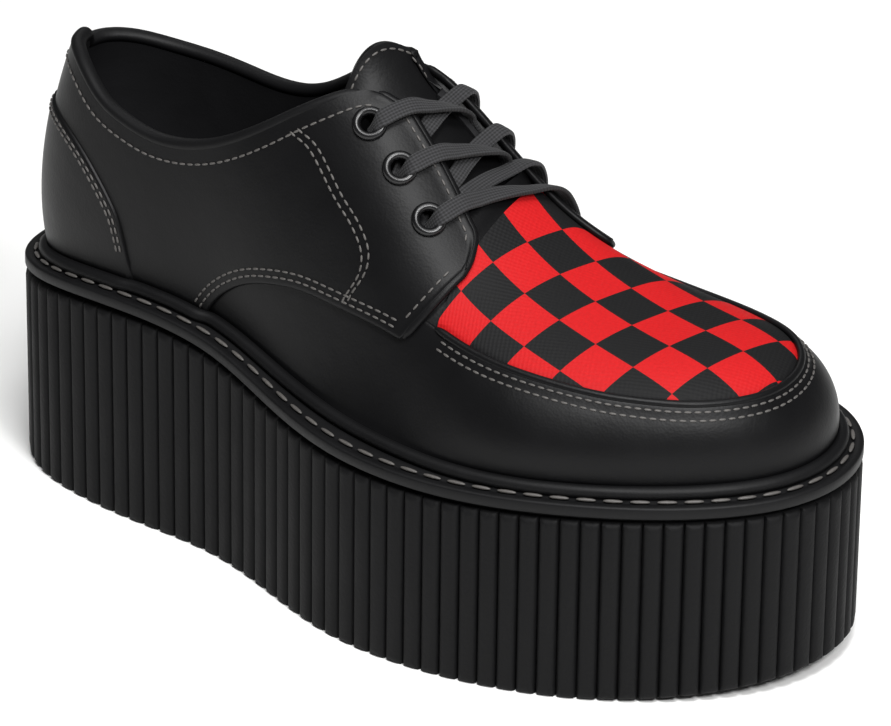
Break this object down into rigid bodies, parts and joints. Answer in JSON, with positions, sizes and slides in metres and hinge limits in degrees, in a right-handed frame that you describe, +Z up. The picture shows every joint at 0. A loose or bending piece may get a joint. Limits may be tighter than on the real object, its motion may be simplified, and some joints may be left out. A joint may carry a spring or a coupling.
{
  "type": "creeper shoe",
  "caption": "Right platform shoe: thick ribbed sole with a stitched welt, laced hollow leather upper, and a checkered apron on the vamp.",
  "frame": {"origin": "on the floor, under the middle of the box around the shoe", "axes": "+X towards the toe, +Y towards the wearer's medial side, +Z up"},
  "size_m": [0.3031, 0.1222, 0.1773],
  "materials": {
    "rubber": "matt moulded black rubber",
    "leather": "smooth black leather with a soft shine",
    "edge_leather": "black finished leather strip",
    "check": "woven red and black check",
    "lining": "black lining and sock",
    "black_metal": "black enamelled eyelet",
    "lace": "flat woven black lace and thread"
  },
  "bodies": {
    "root": {"outsole": "rubber", "welt": "edge_leather", "insole": "lining", "upper": "leather", "apron": "check", "quarter_lateral": "leather", "quarter_medial": "leather", "heel_counter": "leather", "collar_binding": "edge_leather", "tongue": "leather", "laces": "lace", "eyelet_lateral_1": "black_metal", "eyelet_lateral_2": "black_metal", "eyelet_lateral_3": "black_metal", "eyelet_medial_1": "black_metal", "eyelet_medial_2": "black_metal", "eyelet_medial_3": "black_metal", "eyelet_medial_4": "black_metal"}
  },
  "joints": []
}
